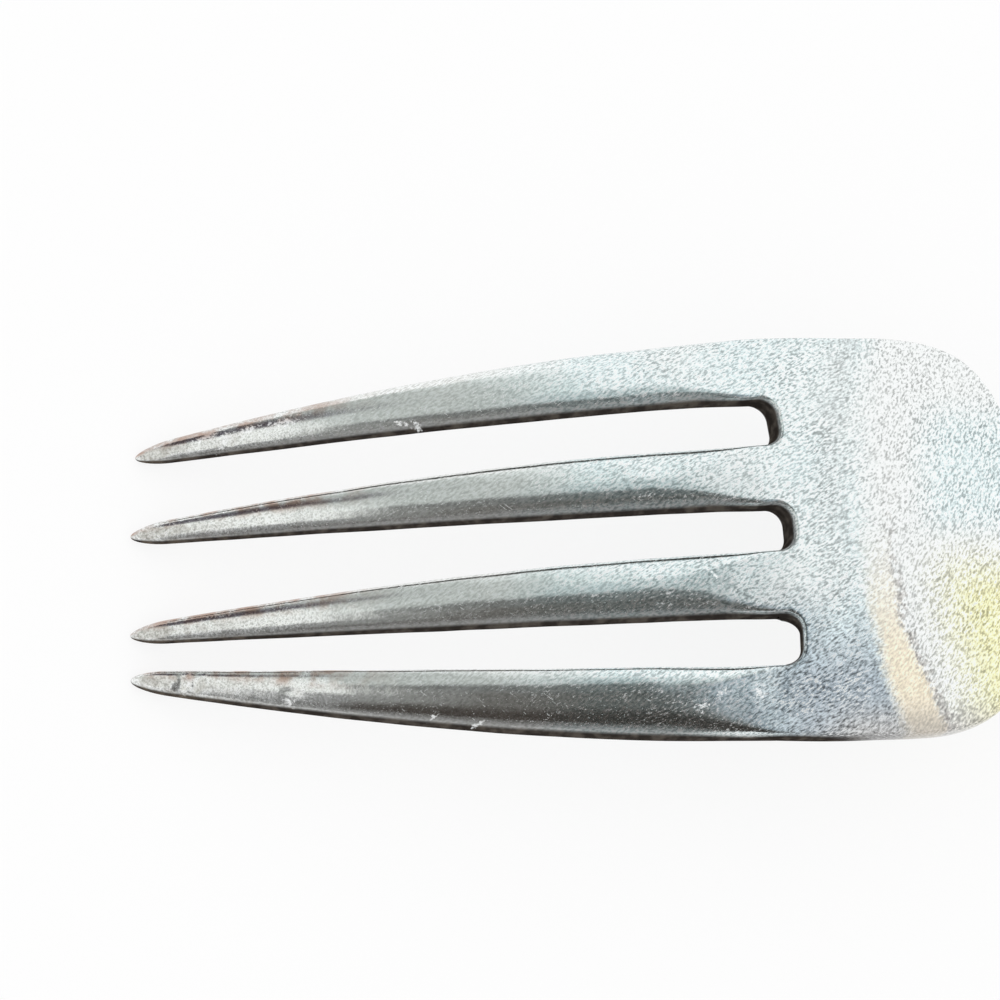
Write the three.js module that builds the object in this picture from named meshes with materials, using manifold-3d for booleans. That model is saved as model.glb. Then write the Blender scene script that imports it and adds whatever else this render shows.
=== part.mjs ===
import * as THREE from "three";
import { mergeVertices } from "three/addons/utils/BufferGeometryUtils.js";
import Module from "manifold-3d";

// A dessert fork with a filled hollow handle, lying face down with the back of its head up.
// X runs from the tine tips to the end of the handle, Y across the tines and Z up, in millimetres.
// A station is a distance along X from the farthest tip.

// Whole fork
const OVERALL_LENGTH = 172;
const FIT_GAP = 0.2;

// Tines: the outer pair is wider than the inner pair, and the middle slot is the narrowest
const TINE_LENGTH = 34.25;
const OUTER_TINE_WIDTH = 3.83;
const INNER_TINE_WIDTH = 3.57;
const OUTER_SLOT_WIDTH = 2.54;
const MIDDLE_SLOT_WIDTH = 2.35;
const SLOT_CORNER_RADIUS = 0.85;
const TIP_WIDTH = 0.98;
const TIP_ROUND_LENGTH = 1.8;

// Each tine as long use has left it: where its tip lies across the fork, how far the tip is worn back,
// how late along the tine the bend towards the tip comes, and the slope that it leans at across its width
const LEAN_FADE_LENGTH = 9;
const TINES = [
  { tipY: 6.59, setback: 0.9, bend: 1.21, lean: -0.08 },
  { tipY: 2.24, setback: 0.4, bend: 1, lean: 0 },
  { tipY: -3.15, setback: 0.1, bend: 1, lean: 0 },
  { tipY: -5.56, setback: 0, bend: 1.9, lean: 0.2 },
];

// Palm, shoulders and neck
const PALM_WIDTH = 22.5;
const PALM_FLARE_LENGTH = 5;
const SHOULDER_OFFSET = 4.85;
const SHOULDER_LENGTH = 9.4;
const SHOULDER_SQUARENESS = 3.85;
const NECK_WIDTH = 4.8;
const NECK_FLARE = 3.4;
const NECK_FLARE_FADE = 2.2;
const NECK_LENGTH = 24.6;
const BLEND_POWER = 6;

// Rims: nearly square round the palm and the slot ends, and rounded all over along the tines
const EDGE_ROUND = 0.25;
const ROOT_BLEND_LENGTH = 7;

// Thickness along the head
const TIP_THICKNESS = 1.1;
const PALM_THICKNESS = 1.95;
const NECK_THICKNESS = 4.2;
const NECK_THICKEN_LENGTH = 20;

// Side view: the head arches up from the tips to a crown in the palm, then falls to the handle's axis
const ARCH_RISE = 9.3;
const CROWN_OFFSET = 4.75;
const DISH_RADIUS = 32;

// Bolster with its shoulder, and the tang behind it
const BOLSTER_LENGTH = 7;
const BOLSTER_RIM = 1.4;
const BOLSTER_SHOULDER = 1.8;
const TANG_DIAMETER = 2.8;
const TANG_TIP_DIAMETER = 2;
const TANG_LENGTH = 50;

// Ferrule
const FERRULE_LENGTH = 5;
const FERRULE_BEAD = 0.25;
const SPIGOT_LENGTH = 3;
const SPIGOT_WALL = 0.8;

// Handle shells
const SHELL_WALL = 0.9;
const HANDLE_WIDTH = 15;
const HANDLE_SWELL = 0.7;
const HANDLE_WIDEN_LENGTH = 66;
const HANDLE_END_LENGTH = 9;
const FLAT_WIDTH = 6;
const MOUTH_FLAT_WIDTH = 0.8;
const FLAT_WIDEN_LENGTH = 25;

// Facets
const TINE_COLUMNS = 8;
const TINE_ROWS = 17;
const TIP_ROWS = 3;
const CORNER_COLUMNS = 3;
const RIM_ROWS = 2;
const PALM_ROWS = 16;
const PALM_ROW_EASE = 1.5;
const NECK_ROWS = 8;
const LATHE_SIDES = 32;
const SHELL_COLUMNS = 6;
const SHELL_ROWS = 20;
const SHELL_END_ROWS = 6;
const WELD_DISTANCE = 1e-4;

// Stations along the fork
const SLOT_CORNER_START = TINE_LENGTH - SLOT_CORNER_RADIUS;
const CROWN = TINE_LENGTH + CROWN_OFFSET;
const SHOULDER_START = TINE_LENGTH + SHOULDER_OFFSET;
const SHOULDER_END = SHOULDER_START + SHOULDER_LENGTH;
const BOLSTER_START = SHOULDER_END + NECK_LENGTH;
const BOLSTER_END = BOLSTER_START + BOLSTER_LENGTH;
const TANG_END = BOLSTER_END + TANG_LENGTH;
const HANDLE_START = BOLSTER_END + FERRULE_LENGTH;

// Round sizes that follow from the tang outwards
const BOLSTER_DIAMETER = TANG_DIAMETER + 2 * BOLSTER_SHOULDER;
const SPIGOT_DIAMETER = TANG_DIAMETER + 2 * (FIT_GAP + SPIGOT_WALL);
const MOUTH_DIAMETER = SPIGOT_DIAMETER + 2 * (FIT_GAP + SHELL_WALL);
const HANDLE_THICKNESS = MOUTH_DIAMETER + HANDLE_SWELL;
const HANDLE_AXIS_Z = Math.max(HANDLE_THICKNESS, MOUTH_DIAMETER + 2 * FERRULE_BEAD) / 2;

const wasm = await Module();
wasm.setup();

const clamp01 = (value) => THREE.MathUtils.clamp(value, 0, 1);
const lerp = THREE.MathUtils.lerp;
const easeOut = (u) => 1 - (1 - u) ** 2;
const roundEnd = (u) => Math.sqrt(1 - (1 - clamp01(u)) ** 2);
const smoothstep = (u) => THREE.MathUtils.smoothstep(u, 0, 1);
const stationX = (station) => station - OVERALL_LENGTH / 2;

// Centre lines and half widths of the tines and slots where they meet the palm
const innerRootY = (MIDDLE_SLOT_WIDTH + INNER_TINE_WIDTH) / 2;
const outerRootY = innerRootY + (INNER_TINE_WIDTH + OUTER_TINE_WIDTH) / 2 + OUTER_SLOT_WIDTH;
const ROOTS = [
  { y: outerRootY, half: OUTER_TINE_WIDTH / 2 },
  { y: innerRootY, half: INNER_TINE_WIDTH / 2 },
  { y: -innerRootY, half: INNER_TINE_WIDTH / 2 },
  { y: -outerRootY, half: OUTER_TINE_WIDTH / 2 },
];
const ROOT_HALF_WIDTH = outerRootY + OUTER_TINE_WIDTH / 2;
const outerSlotY = outerRootY - (OUTER_TINE_WIDTH + OUTER_SLOT_WIDTH) / 2;
const SLOTS = [
  { y: outerSlotY, half: OUTER_SLOT_WIDTH / 2 },
  { y: 0, half: MIDDLE_SLOT_WIDTH / 2 },
  { y: -outerSlotY, half: OUTER_SLOT_WIDTH / 2 },
];
const MOST_CORNER_SHARE = 0.9;
const slotCorner = (slot) => Math.min(SLOT_CORNER_RADIUS, MOST_CORNER_SHARE * slot.half);

// How far along its own length a station lies on a tine, from 0 at its tip to 1 at the palm
function alongTine(index, station) {
  const { setback } = TINES[index];
  return clamp01((station - setback) / (TINE_LENGTH - setback));
}

function tineCentre(index, station) {
  const { tipY, bend } = TINES[index];
  return lerp(ROOTS[index].y, tipY, (1 - alongTine(index, station)) ** bend);
}

function tineRound(index, station) {
  return roundEnd((station - TINES[index].setback) / TIP_ROUND_LENGTH);
}

function tineHalfWidth(index, station) {
  const taper = lerp(TIP_WIDTH / 2, ROOTS[index].half, easeOut(alongTine(index, station)));
  return taper * tineRound(index, station);
}

function tineHalfThickness(index, station) {
  const taper = lerp(TIP_THICKNESS, PALM_THICKNESS, easeOut(alongTine(index, station))) / 2;
  return taper * tineRound(index, station);
}

// Share of its full thickness that a tine has at a place across it, from -1 to 1
function tineSection(index, station, across) {
  const halfWidth = tineHalfWidth(index, station);
  const squareShare = smoothstep((station - SLOT_CORNER_START) / ROOT_BLEND_LENGTH + 1);
  const edge = lerp(halfWidth, EDGE_ROUND, squareShare);
  return roundEnd((halfWidth * (1 - Math.abs(across))) / edge);
}

function palmHalfThickness(station) {
  const share = smoothstep((station - CROWN) / NECK_THICKEN_LENGTH);
  return lerp(PALM_THICKNESS, NECK_THICKNESS, share) / 2;
}

// Share of its full thickness that the palm has at a place, with square rims, and the neck that turns oval
function palmSection(station, y, across) {
  const blade = roundEnd(palmDepth(station, y) / EDGE_ROUND);
  const oval = Math.sqrt(1 - across * across);
  return lerp(blade, oval, smoothstep((station - SHOULDER_END) / NECK_LENGTH));
}

// Half width of the palm, its squared round shoulders and the neck that they run into
function palmHalfWidth(station) {
  const flare = easeOut(clamp01((station - SLOT_CORNER_START) / PALM_FLARE_LENGTH));
  const full = lerp(ROOT_HALF_WIDTH, PALM_WIDTH / 2, flare);
  const u = clamp01((station - SHOULDER_START) / SHOULDER_LENGTH);
  const shoulder = full * (1 - u ** SHOULDER_SQUARENESS) ** (1 / SHOULDER_SQUARENESS);
  const flareShare = 1 / (1 + Math.exp((station - SHOULDER_END) / NECK_FLARE_FADE));
  const neck = NECK_WIDTH / 2 + NECK_FLARE * flareShare;
  return (shoulder ** BLEND_POWER + (neck * u) ** BLEND_POWER) ** (1 / BLEND_POWER);
}

// Height of the middle of the metal above the tips' middle: an arch up to the crown
const archHeight = (u) => ARCH_RISE * easeOut(u);
const dishDrop = (station, y) => (clamp01(station / CROWN) * y * y) / (2 * DISH_RADIUS);

function tineHeight(index, station, y) {
  const { setback, lean } = TINES[index];
  const freeShare = smoothstep((SLOT_CORNER_START - station) / LEAN_FADE_LENGTH);
  const leanRise = lean * freeShare * (y - tineCentre(index, station));
  return archHeight((station - setback) / (CROWN - setback)) - dishDrop(station, y) + leanRise;
}

// Height of the tips' middle that lets the lowest tip touch the table
const TIP_HEIGHT = Math.max(
  ...TINES.flatMap((tine, index) =>
    tineStations(index).map((station) => {
      const y = tineCentre(index, station);
      return tineHalfThickness(index, station) - tineHeight(index, station, y);
    }),
  ),
);

function palmHeight(station, y) {
  const crownHeight = TIP_HEIGHT + ARCH_RISE;
  if (station <= CROWN) return TIP_HEIGHT + archHeight(station / CROWN) - dishDrop(station, y);
  const u = clamp01((station - CROWN) / (BOLSTER_START - CROWN));
  const share = (1 + Math.cos(Math.PI * u)) / 2;
  return lerp(HANDLE_AXIS_Z, crownHeight, share) - dishDrop(station, y);
}

function tineStations(index) {
  const { setback } = TINES[index];
  const stations = [];
  for (let row = 0; row < TIP_ROWS; row++) {
    const angle = (row / TIP_ROWS) * (Math.PI / 2);
    stations.push(setback + TIP_ROUND_LENGTH * (1 - Math.cos(angle)));
  }
  for (let row = 0; row <= TINE_ROWS; row++) {
    stations.push(lerp(setback + TIP_ROUND_LENGTH, SLOT_CORNER_START, row / TINE_ROWS));
  }
  return stations;
}

function palmStations() {
  const neckStart = SHOULDER_END + NECK_FLARE_FADE;
  const bladeEnd = BOLSTER_START + BOLSTER_LENGTH / 2;
  const stations = [];
  for (let row = 1; row <= RIM_ROWS; row++) {
    stations.push(SLOT_CORNER_START + EDGE_ROUND * (row / RIM_ROWS) ** 2);
  }
  for (let row = 1; row <= PALM_ROWS; row++) {
    const share = 1 - (1 - row / PALM_ROWS) ** PALM_ROW_EASE;
    stations.push(lerp(SLOT_CORNER_START + EDGE_ROUND, neckStart, share));
  }
  for (let row = 1; row <= NECK_ROWS; row++) {
    stations.push(lerp(neckStart, bladeEnd, row / NECK_ROWS));
  }
  return stations;
}

// Depth of a palm point inside the rim, from the nearest of the outer edge and the slot ends
function palmDepth(station, y) {
  const step = 0.01;
  const slope = (palmHalfWidth(station + step) - palmHalfWidth(station - step)) / (2 * step);
  let depth = (palmHalfWidth(station) - Math.abs(y)) / Math.hypot(1, slope);
  for (const slot of SLOTS) {
    const corner = slotCorner(slot);
    const aside = Math.max(Math.abs(y - slot.y) - slot.half + corner, 0);
    const beyond = Math.max(station - TINE_LENGTH + corner, 0);
    depth = Math.min(depth, Math.hypot(aside, beyond) - corner);
  }
  return Math.max(depth, 0);
}

// Triangles of a closed surface, gathered from shared vertices
class Surface {
  constructor() {
    this.positions = [];
    this.indices = [];
  }
  vertex(station, y, z) {
    this.positions.push(stationX(station), y, z);
    return this.positions.length / 3 - 1;
  }
  triangle(a, b, c) {
    if (a !== b && b !== c && c !== a) this.indices.push(a, b, c);
  }
  quad(a, b, c, d) {
    this.triangle(a, b, c);
    this.triangle(a, c, d);
  }
  geometry() {
    const geometry = new THREE.BufferGeometry();
    geometry.setAttribute("position", new THREE.Float32BufferAttribute(this.positions, 3));
    geometry.setIndex(this.indices);
    return geometry;
  }
}

// Across the palm, each column belongs to a tine or to the gap beyond a slot. A gap column holds the angle
// round the slot's end corner, which says how far past the corner's start the slot reaches there.
function palmColumns() {
  const columns = [];
  TINES.forEach((tine, index) => {
    for (let step = 0; step <= TINE_COLUMNS; step++) {
      const across = Math.cos((Math.PI * step) / TINE_COLUMNS);
      columns.push({ tine: index, across, y: ROOTS[index].y + ROOTS[index].half * across, reach: 0 });
    }
    if (index === SLOTS.length) return;
    const slot = SLOTS[index];
    const corner = slotCorner(slot);
    for (const side of [1, -1]) {
      for (let step = 1; step <= CORNER_COLUMNS; step++) {
        const turn = side > 0 ? step : CORNER_COLUMNS + 1 - step;
        const angle = (turn / CORNER_COLUMNS) * (Math.PI / 2);
        const inset = corner * (1 - Math.cos(angle));
        const reach = SLOT_CORNER_RADIUS - corner * (1 - Math.sin(angle));
        columns.push({ tine: null, y: slot.y + side * (slot.half - inset), reach });
      }
    }
  });
  return columns;
}

// The blade of the fork: two skins over one grid of rows and columns that meet along the rim. The first row
// of each tine is one vertex, its tip.
function bladeGeometry() {
  const surface = new Surface();
  const columns = palmColumns();
  const back = [];
  const face = [];
  const addNode = (row, column, station, y, z, half) => {
    back[row] ??= [];
    face[row] ??= [];
    back[row][column] = surface.vertex(station, y, z + half);
    face[row][column] = half > 0 ? surface.vertex(station, y, z - half) : back[row][column];
  };
  const rootRow = TIP_ROWS + TINE_ROWS;
  const tineRows = TINES.map((tine, index) => tineStations(index));
  columns.forEach(({ tine, across }, column) => {
    if (tine === null) return;
    tineRows[tine].forEach((station, row) => {
      if (row === 0 && across !== 1) {
        back[0][column] = back[0][column - 1];
        face[0][column] = face[0][column - 1];
        return;
      }
      const y = tineCentre(tine, station) + tineHalfWidth(tine, station) * across;
      const onRim = row === 0 || Math.abs(across) === 1;
      const half = onRim ? 0 : tineHalfThickness(tine, station) * tineSection(tine, station, across);
      addNode(row, column, station, y, TIP_HEIGHT + tineHeight(tine, station, y), half);
    });
  });
  columns.forEach(({ tine, y, reach }, column) => {
    if (tine !== null) return;
    const station = SLOT_CORNER_START + reach;
    addNode(rootRow, column, station, y, palmHeight(station, y), 0);
  });
  const rows = palmStations();
  rows.forEach((base, index) => {
    const fade = clamp01(1 - (base - SLOT_CORNER_START) / PALM_FLARE_LENGTH);
    columns.forEach(({ y: rootY, reach }, column) => {
      const station = base + reach * fade;
      const across = rootY / ROOT_HALF_WIDTH;
      const y = across * palmHalfWidth(station);
      const onRim = column === 0 || column === columns.length - 1;
      const half = onRim ? 0 : palmHalfThickness(station) * palmSection(station, y, across);
      addNode(rootRow + 1 + index, column, station, y, palmHeight(station, y), half);
    });
  });
  const lastRow = rootRow + rows.length;
  for (let row = 0; row < lastRow; row++) {
    for (let column = 0; column + 1 < columns.length; column++) {
      const inTine = columns[column].tine !== null && columns[column].tine === columns[column + 1].tine;
      if (row < rootRow && !inTine) continue;
      const next = column + 1;
      surface.quad(back[row][column], back[row][next], back[row + 1][next], back[row + 1][column]);
      surface.quad(face[row][column], face[row + 1][column], face[row + 1][next], face[row][next]);
    }
  }
  for (let column = 0; column + 1 < columns.length; column++) {
    const next = column + 1;
    surface.quad(back[lastRow][column], back[lastRow][next], face[lastRow][next], face[lastRow][column]);
  }
  return surface.geometry();
}

// A solid turned about the handle's axis from a closed profile of stations and radii
function turnedGeometry(profile) {
  const points = profile.map(([station, radius]) => new THREE.Vector2(radius, stationX(station)));
  const geometry = new THREE.LatheGeometry(points, LATHE_SIDES);
  return geometry.rotateZ(-Math.PI / 2).translate(0, 0, HANDLE_AXIS_Z);
}

// Bolster with a flat back shoulder, and the tapered tang behind it
function bolsterGeometry() {
  const neckRadius = Math.min(NECK_WIDTH, NECK_THICKNESS) / 2;
  const rimStart = BOLSTER_END - BOLSTER_RIM;
  const flare = [0.25, 0.5, 0.75, 1].map((u) => [
    lerp(BOLSTER_START, rimStart, u),
    lerp(neckRadius, BOLSTER_DIAMETER / 2, smoothstep(u)),
  ]);
  return turnedGeometry([
    [BOLSTER_START, 0],
    [BOLSTER_START, neckRadius - FIT_GAP],
    ...flare,
    [BOLSTER_END, BOLSTER_DIAMETER / 2],
    [BOLSTER_END, TANG_DIAMETER / 2],
    [TANG_END, TANG_TIP_DIAMETER / 2],
    [TANG_END, 0],
  ]);
}

function toSolid(geometry) {
  const bare = geometry.clone();
  bare.deleteAttribute("normal");
  bare.deleteAttribute("uv");
  const merged = mergeVertices(bare, WELD_DISTANCE);
  const mesh = new wasm.Mesh({
    numProp: 3,
    vertProperties: new Float32Array(merged.getAttribute("position").array),
    triVerts: new Uint32Array(merged.index.array),
  });
  return new wasm.Manifold(mesh);
}

function toGeometry(solid) {
  const { vertProperties, triVerts } = solid.getMesh();
  const geometry = new THREE.BufferGeometry();
  geometry.setAttribute("position", new THREE.Float32BufferAttribute(vertProperties, 3));
  geometry.setIndex(new THREE.Uint32BufferAttribute(triVerts, 1));
  geometry.computeVertexNormals();
  return geometry;
}

function headGeometry() {
  return toGeometry(toSolid(bladeGeometry()).add(toSolid(bolsterGeometry())));
}

// Radius of the bore that clears the tang at a station
function boreRadius(station) {
  const u = (station - BOLSTER_END) / TANG_LENGTH;
  return lerp(TANG_DIAMETER, TANG_TIP_DIAMETER, u) / 2 + FIT_GAP;
}

// Turned collar between bolster and handle, with a spigot that holds the mouths of the two shells together
function ferruleGeometry() {
  const bead = [0.2, 0.35, 0.5, 0.65, 0.8].map((u) => [
    lerp(BOLSTER_END, HANDLE_START, u),
    lerp(BOLSTER_DIAMETER, MOUTH_DIAMETER, u) / 2 + FERRULE_BEAD * Math.sin(Math.PI * u),
  ]);
  const spigotEnd = HANDLE_START + SPIGOT_LENGTH;
  return turnedGeometry([
    [BOLSTER_END, boreRadius(BOLSTER_END)],
    [BOLSTER_END, BOLSTER_DIAMETER / 2],
    ...bead,
    [HANDLE_START, MOUTH_DIAMETER / 2],
    [HANDLE_START, SPIGOT_DIAMETER / 2],
    [spigotEnd, SPIGOT_DIAMETER / 2],
    [spigotEnd, boreRadius(spigotEnd)],
    [BOLSTER_END, boreRadius(BOLSTER_END)],
  ]);
}

// Section of the handle at a station, drawn in by an inset: half width, half thickness and half flat
function handleSection(station, inset) {
  const wideShare = smoothstep((station - HANDLE_START) / HANDLE_WIDEN_LENGTH);
  const width = lerp(MOUTH_DIAMETER, HANDLE_WIDTH, wideShare);
  const flatShare = easeOut(clamp01((station - HANDLE_START) / FLAT_WIDEN_LENGTH));
  const thickness = lerp(MOUTH_DIAMETER, HANDLE_THICKNESS, flatShare);
  const close = roundEnd((OVERALL_LENGTH - station) / HANDLE_END_LENGTH);
  return {
    half: (width / 2 - inset) * close,
    rise: (thickness / 2 - inset) * close,
    flat: (lerp(MOUTH_FLAT_WIDTH, FLAT_WIDTH, flatShare) / 2) * close,
  };
}

function handleStations() {
  const endStart = OVERALL_LENGTH - HANDLE_END_LENGTH;
  const stations = [];
  for (let row = 0; row < SHELL_ROWS; row++) {
    stations.push(lerp(HANDLE_START, endStart, row / SHELL_ROWS));
  }
  for (let row = 0; row <= SHELL_END_ROWS; row++) {
    const angle = (row / SHELL_END_ROWS) * (Math.PI / 2);
    stations.push(endStart + HANDLE_END_LENGTH * Math.sin(angle));
  }
  return stations;
}

// One row of points round the upper (side 1) or lower (side -1) half of the handle's section
function sectionArc(surface, station, section, side) {
  const arc = [];
  for (const hand of [1, -1]) {
    for (let step = 0; step <= SHELL_COLUMNS; step++) {
      const turn = hand > 0 ? step : SHELL_COLUMNS - step;
      const angle = (turn / SHELL_COLUMNS) * (Math.PI / 2);
      const cos = turn === SHELL_COLUMNS ? 0 : Math.cos(angle);
      const sin = turn === 0 ? 0 : Math.sin(angle);
      const y = hand * (section.flat + (section.half - section.flat) * cos);
      arc.push(surface.vertex(station, y, HANDLE_AXIS_Z + side * section.rise * sin));
    }
  }
  return arc;
}

// Rows of arcs from the mouth to the closed end, whose last row is one vertex
function handleSkin(surface, start, inset, side) {
  const squeeze = (OVERALL_LENGTH - inset - start) / (OVERALL_LENGTH - HANDLE_START);
  const stations = handleStations();
  return stations.map((station, row) => {
    const placed = start + (station - HANDLE_START) * squeeze;
    if (row < stations.length - 1) return sectionArc(surface, placed, handleSection(station, inset), side);
    const apex = surface.vertex(placed, 0, HANDLE_AXIS_Z);
    return new Array(2 * SHELL_COLUMNS + 2).fill(apex);
  });
}

// Quads between two rows of vertices, turned so that their front faces the way that side asks
function strip(surface, first, second, side) {
  for (let step = 0; step + 1 < first.length; step++) {
    const corners = [first[step], first[step + 1], second[step + 1], second[step]];
    if (side < 0) corners.reverse();
    surface.quad(...corners);
  }
}

// Half of the drawn handle: outer skin, inner skin, mouth and the flat seam faces along both edges
function shellGeometry(side) {
  const surface = new Surface();
  const outer = handleSkin(surface, HANDLE_START, 0, side);
  const inner = handleSkin(surface, HANDLE_START, SHELL_WALL, side);
  for (let row = 0; row + 1 < outer.length; row++) {
    strip(surface, outer[row], outer[row + 1], side);
    strip(surface, inner[row], inner[row + 1], -side);
  }
  strip(surface, outer[0], inner[0], -side);
  const edge = (skin, pick) => skin.map((row) => row.at(pick));
  strip(surface, edge(outer, 0), edge(inner, 0), side);
  strip(surface, edge(outer, -1), edge(inner, -1), -side);
  return surface.geometry();
}

// Set resin that fills both shells and grips the tang
function fillerGeometry() {
  const start = HANDLE_START + SPIGOT_LENGTH + FIT_GAP;
  const surface = new Surface();
  const inset = SHELL_WALL + FIT_GAP;
  const upper = handleSkin(surface, start, inset, 1);
  const lower = handleSkin(surface, start, inset, -1);
  for (let row = 0; row + 1 < upper.length; row++) {
    strip(surface, upper[row], upper[row + 1], 1);
    strip(surface, lower[row], lower[row + 1], -1);
  }
  strip(surface, upper[0], lower[0], -1);
  const socketEnd = TANG_END + FIT_GAP;
  const socket = turnedGeometry([
    [HANDLE_START, 0],
    [HANDLE_START, boreRadius(HANDLE_START)],
    [socketEnd, boreRadius(socketEnd)],
    [socketEnd, 0],
  ]);
  return toGeometry(toSolid(surface.geometry()).subtract(toSolid(socket)));
}

function metal(color, roughness) {
  return new THREE.MeshStandardMaterial({ color, roughness, metalness: 1 });
}

function named(name, geometry, material) {
  const mesh = new THREE.Mesh(geometry, material);
  mesh.name = name;
  return mesh;
}

const fork = new THREE.Group();
fork.name = "dessert_fork";
fork.add(named("fork_head", headGeometry(), metal(0xb9c0c0, 0.32)));
fork.add(named("ferrule", ferruleGeometry(), metal(0xb4babb, 0.28)));
fork.add(named("upper_shell", shellGeometry(1), metal(0xbcc2c2, 0.3)));
fork.add(named("lower_shell", shellGeometry(-1), metal(0xbcc2c2, 0.3)));
const resin = new THREE.MeshStandardMaterial({ color: 0x2b2420, roughness: 0.85, metalness: 0 });
fork.add(named("filler", fillerGeometry(), resin));

export default fork;
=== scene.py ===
import math

import bpy
import numpy as np
from mathutils import Matrix, Vector, noise


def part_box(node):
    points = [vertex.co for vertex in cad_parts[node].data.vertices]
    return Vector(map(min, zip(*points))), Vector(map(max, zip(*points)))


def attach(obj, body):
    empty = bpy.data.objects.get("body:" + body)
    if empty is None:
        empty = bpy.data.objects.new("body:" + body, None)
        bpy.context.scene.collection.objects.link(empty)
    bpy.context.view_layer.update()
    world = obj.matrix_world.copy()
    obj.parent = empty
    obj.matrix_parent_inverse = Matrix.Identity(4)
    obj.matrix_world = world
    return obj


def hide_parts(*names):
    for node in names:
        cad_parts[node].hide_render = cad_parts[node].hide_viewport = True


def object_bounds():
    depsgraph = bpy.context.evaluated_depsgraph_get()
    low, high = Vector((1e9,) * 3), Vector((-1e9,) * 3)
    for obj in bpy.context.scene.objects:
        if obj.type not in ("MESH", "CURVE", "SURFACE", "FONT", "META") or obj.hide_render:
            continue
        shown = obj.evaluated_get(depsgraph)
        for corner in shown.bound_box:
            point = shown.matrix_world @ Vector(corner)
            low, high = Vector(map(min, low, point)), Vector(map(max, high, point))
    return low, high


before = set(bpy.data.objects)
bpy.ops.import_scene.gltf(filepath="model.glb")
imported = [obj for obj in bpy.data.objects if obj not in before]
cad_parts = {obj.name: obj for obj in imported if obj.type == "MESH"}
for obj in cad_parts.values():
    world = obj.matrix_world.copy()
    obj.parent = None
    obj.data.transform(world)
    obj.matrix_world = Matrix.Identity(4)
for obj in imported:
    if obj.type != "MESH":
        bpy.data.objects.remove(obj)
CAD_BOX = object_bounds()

# A worn dessert fork lying face down on a white table, seen from above the tine tips. Sizes are in
# millimetres where nothing else is said, and repeat those of the part, apart from the wear, the lean of the
# third tine and the slant of one slot's end wall. A station is a distance along X from the farthest tip.
MM = 0.001
TIP_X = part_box("fork_head")[0].x / MM

# Tines: sizes, then where each tip lies, how far it is worn back, how late the tine bends, the slope that it
# leans at and the share of its rounding that darkens with tarnish and painted shade
TINE_LENGTH = 34.25
OUTER_TINE_WIDTH = 3.83
INNER_TINE_WIDTH = 3.57
OUTER_SLOT_WIDTH = 2.54
MIDDLE_SLOT_WIDTH = 2.35
SLOT_CORNER_RADIUS = 0.85
TIP_WIDTH = 0.98
TIP_ROUND_LENGTH = 1.8
LEAN_FADE_LENGTH = 9.0
TINES = [
    {"tip_y": 6.59, "setback": 0.9, "bend": 1.21, "lean": -0.08, "tarnish_and_painted_shade": 0.75},
    {"tip_y": 2.24, "setback": 0.4, "bend": 1.0, "lean": 0.0, "tarnish_and_painted_shade": 0.75},
    {"tip_y": -3.15, "setback": 0.1, "bend": 1.0, "lean": -0.03, "tarnish_and_painted_shade": 0.75},
    {"tip_y": -5.56, "setback": 0.0, "bend": 1.9, "lean": 0.2, "tarnish_and_painted_shade": 0.4},
]

# Palm, shoulders and neck, and how far the end wall of the slot nearest the viewer slants back
WALL_RAKE = 0.65
PALM_WIDTH = 22.5
PALM_FLARE_LENGTH = 5.0
SHOULDER_OFFSET = 4.85
SHOULDER_LENGTH = 9.4
SHOULDER_SQUARENESS = 3.85
NECK_WIDTH = 4.8
NECK_FLARE = 3.4
NECK_FLARE_FADE = 2.2
NECK_LENGTH = 24.6
BLEND_POWER = 6
EDGE_ROUND = 0.25
ROOT_BLEND_LENGTH = 7.0

# Thickness, arch and dish of the head
TIP_THICKNESS = 1.1
PALM_THICKNESS = 1.95
NECK_THICKNESS = 4.2
NECK_THICKEN_LENGTH = 20.0
ARCH_RISE = 9.3
CROWN_OFFSET = 4.75
DISH_RADIUS = 32.0

# Bolster, tang, ferrule and handle
BOLSTER_LENGTH = 7.0
BOLSTER_RIM = 1.4
BOLSTER_DIAMETER = 6.4
TANG_DIAMETER = 2.8
TANG_TIP_DIAMETER = 2.0
TANG_LENGTH = 50.0
FERRULE_LENGTH = 5.0
FERRULE_BEAD = 0.25
SPIGOT_LENGTH = 3.0
SPIGOT_DIAMETER = 4.8
FIT_GAP = 0.2
SHELL_WALL = 0.9
MOUTH_DIAMETER = 7.0
HANDLE_WIDTH = 15.0
HANDLE_THICKNESS = 7.7
HANDLE_WIDEN_LENGTH = 66.0
HANDLE_END_LENGTH = 9.0
FLAT_WIDTH = 6.0
MOUTH_FLAT_WIDTH = 0.8
FLAT_WIDEN_LENGTH = 25.0
EDGE_BREAK = 0.12

# Stations and heights that follow
OVERALL_LENGTH = (CAD_BOX[1].x - CAD_BOX[0].x) / MM
SLOT_CORNER_START = TINE_LENGTH - SLOT_CORNER_RADIUS
CROWN = TINE_LENGTH + CROWN_OFFSET
SHOULDER_START = TINE_LENGTH + SHOULDER_OFFSET
SHOULDER_END = SHOULDER_START + SHOULDER_LENGTH
BOLSTER_START = SHOULDER_END + NECK_LENGTH
BOLSTER_END = BOLSTER_START + BOLSTER_LENGTH
TANG_END = BOLSTER_END + TANG_LENGTH
HANDLE_START = BOLSTER_END + FERRULE_LENGTH
HANDLE_AXIS_Z = HANDLE_THICKNESS / 2

# Mesh fineness
TINE_COLUMNS = 24
TINE_ROWS = 150
TIP_ROWS = 10
CORNER_COLUMNS = 9
SLOT_END_ROWS = 12
PALM_ROWS = 150
NECK_ROWS = 30
FLARE_ROWS = 24
LATHE_SIDES = 96
SHELL_COLUMNS = 20
SHELL_ROWS = 90
SHELL_END_ROWS = 24
TIP_SAMPLES = 100
OUTLINE_SAMPLES = 2000
SLOPE_STEP = 0.01
BEAD_SHARES = (0.04, 0.96)
MERGE_STEPS = 10000
SHARP_DEGREES = 50

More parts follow.
